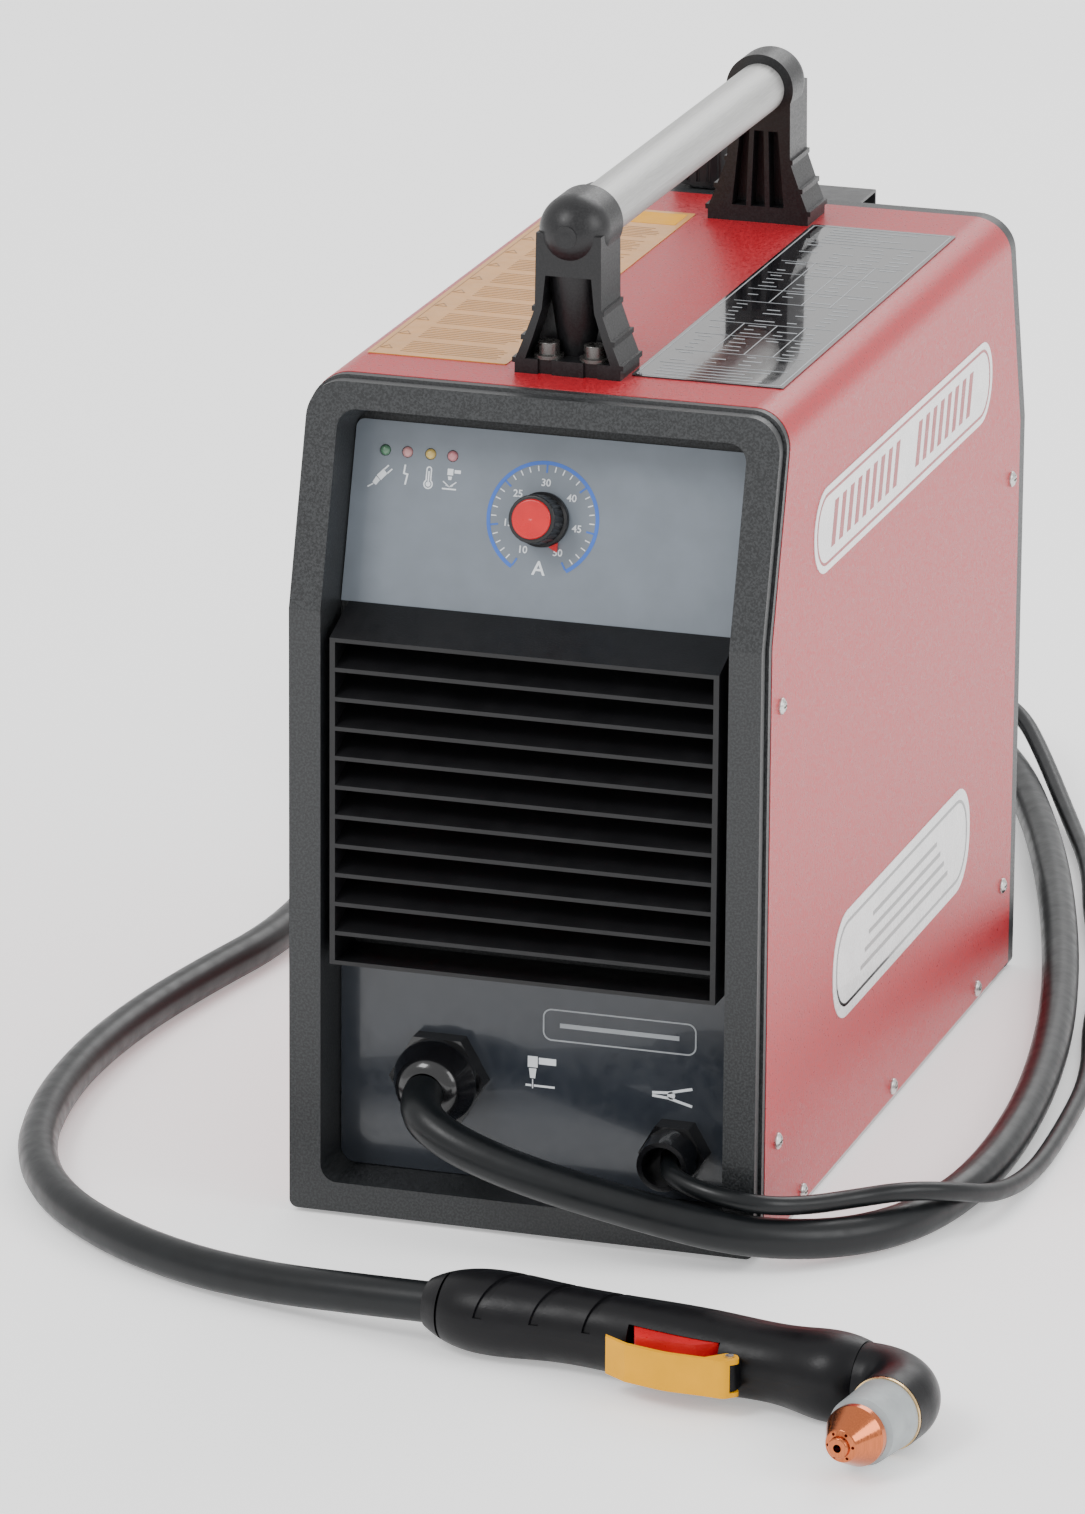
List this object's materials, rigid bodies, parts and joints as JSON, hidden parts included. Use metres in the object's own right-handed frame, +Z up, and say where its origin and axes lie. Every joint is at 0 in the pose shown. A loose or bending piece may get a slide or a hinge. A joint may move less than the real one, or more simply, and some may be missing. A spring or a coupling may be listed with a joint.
{
  "type": "plasma cutter",
  "caption": "Upright inverter plasma cutter with a carry handle, louvred front, control panel, torch on its lead and earth clamp on its lead.",
  "frame": {"origin": "centre of the underside of the machine, on the floor", "axes": "+Z up, -Y is the front with the control panel, +X is to the right of someone facing the front"},
  "size_m": [0.5637, 1.2008, 0.4839],
  "materials": {
    "red_paint": "textured powder coat",
    "grey_steel": "plain",
    "charcoal_plastic": "textured",
    "dark_steel": "satin",
    "panel_print": "printed satin",
    "slate_plate": "gloss",
    "black_plastic": "satin",
    "screw_steel": "plain",
    "label_film": "printed",
    "handle_plastic": "satin",
    "handle_aluminium": "satin anodised",
    "board": "matt",
    "component_black": "matt",
    "lamp": "gloss",
    "red_plastic": "satin",
    "sink_aluminium": "mill",
    "core_iron": "plain",
    "copper": "enamelled copper",
    "cast_body": "painted",
    "clear_bowl": "clear",
    "brass": "plain",
    "lead_rubber": "satin",
    "torch_plastic": "satin",
    "yellow_plastic": "satin",
    "shield_grey": "moulded",
    "copper_tip": "turned copper",
    "clamp_steel": "pressed"
  },
  "bodies": {
    "machine": {"cover": "red_paint", "base_tray": "grey_steel", "front_bezel": "charcoal_plastic", "rear_bezel": "charcoal_plastic", "rear_panel": "dark_steel", "control_plate": "panel_print", "socket_plate": "slate_plate", "louvre_grille": "black_plastic", "side_screws": "screw_steel", "top_labels": "label_film", "side_labels": "label_film", "handle_front_post": "handle_plastic", "handle_rear_post": "handle_plastic", "handle_tube": "handle_aluminium", "handle_fasteners": "screw_steel", "circuit_boards": "board", "board_components": "component_black", "indicator_lamps": "lamp", "heat_sink": "sink_aluminium", "magnetic_cores": "core_iron", "copper_windings": "copper", "fan_frame": "black_plastic", "fan_guard": "screw_steel", "mains_switch_body": "black_plastic", "mains_gland": "black_plastic", "rear_bracket": "dark_steel", "filter_regulator": "cast_body", "filter_bowl": "clear_bowl", "pressure_gauge": "black_plastic", "solenoid_valve": "brass", "torch_gland": "black_plastic", "earth_gland": "black_plastic", "gland_nuts": "black_plastic", "torch_lead": "lead_rubber", "torch_lead_coil": "lead_rubber", "torch_lead_end": "lead_rubber", "earth_lead": "lead_rubber", "earth_lead_coil": "lead_rubber", "earth_lead_end": "lead_rubber", "torch_handle_top": "torch_plastic", "torch_handle_bottom": "torch_plastic", "torch_pins": "screw_steel", "torch_head": "torch_plastic", "torch_ring": "brass", "torch_shield": "shield_grey", "torch_nozzle": "copper_tip", "torch_electrode": "copper_tip", "clamp_jaw_fixed": "clamp_steel", "clamp_pin": "screw_steel", "clamp_spring": "screw_steel"},
    "knob": {"knob_body": "black_plastic", "knob_red_parts": "red_plastic", "knob_shaft": "screw_steel"},
    "fan": {"fan_rotor": "black_plastic"},
    "switch": {"mains_switch_knob": "red_plastic"},
    "regulator": {"regulator_knob": "black_plastic"},
    "needle": {"gauge_needle": "red_plastic"},
    "trigger": {"torch_trigger": "red_plastic"},
    "lever": {"torch_safety_lever": "yellow_plastic"},
    "jaw": {"clamp_jaw_moving": "clamp_steel"}
  },
  "joints": [
    {"name": "current_knob_turn", "type": "hinge", "parent": "machine", "child": "knob", "pos_m": [-0.0039, -0.21603, 0.34326], "axis": [0, -0.962, 0.2729], "range_deg": [0, 300]},
    {"name": "fan_spin", "type": "hinge", "parent": "machine", "child": "fan", "pos_m": [0, 0.18, 0.11], "axis": [0, 1, 0], "continuous": true},
    {"name": "mains_switch_turn", "type": "hinge", "parent": "machine", "child": "switch", "pos_m": [0.055, 0.2, 0.245], "axis": [0, 1, 0], "range_deg": [-90, 0]},
    {"name": "regulator_knob_turn", "type": "hinge", "parent": "machine", "child": "regulator", "pos_m": [-0.048, 0.218, 0.41], "axis": [0, 0, 1], "range_deg": [-360, 360]},
    {"name": "gauge_needle_swing", "type": "hinge", "parent": "machine", "child": "needle", "pos_m": [-0.048, 0.242, 0.353], "axis": [0, 1, 0], "range_deg": [-260, 0], "stiffness_Nm_per_rad": 0.0002},
    {"name": "trigger_press", "type": "hinge", "parent": "machine", "child": "trigger", "pos_m": [0.14695, -0.40443, 0.0186], "axis": [0, 0, 1], "range_deg": [-5, 0], "stiffness_Nm_per_rad": 0.6},
    {"name": "safety_lever_swing", "type": "hinge", "parent": "machine", "child": "lever", "pos_m": [0.15753, -0.41725, 0.0186], "axis": [0, 0, 1], "range_deg": [0, 25], "stiffness_Nm_per_rad": 0.05},
    {"name": "clamp_jaw_open", "type": "hinge", "parent": "machine", "child": "jaw", "pos_m": [-0.14, 0.401, 0.012], "axis": [0, 0, 1], "range_deg": [-12, 0], "stiffness_Nm_per_rad": 2}
  ]
}
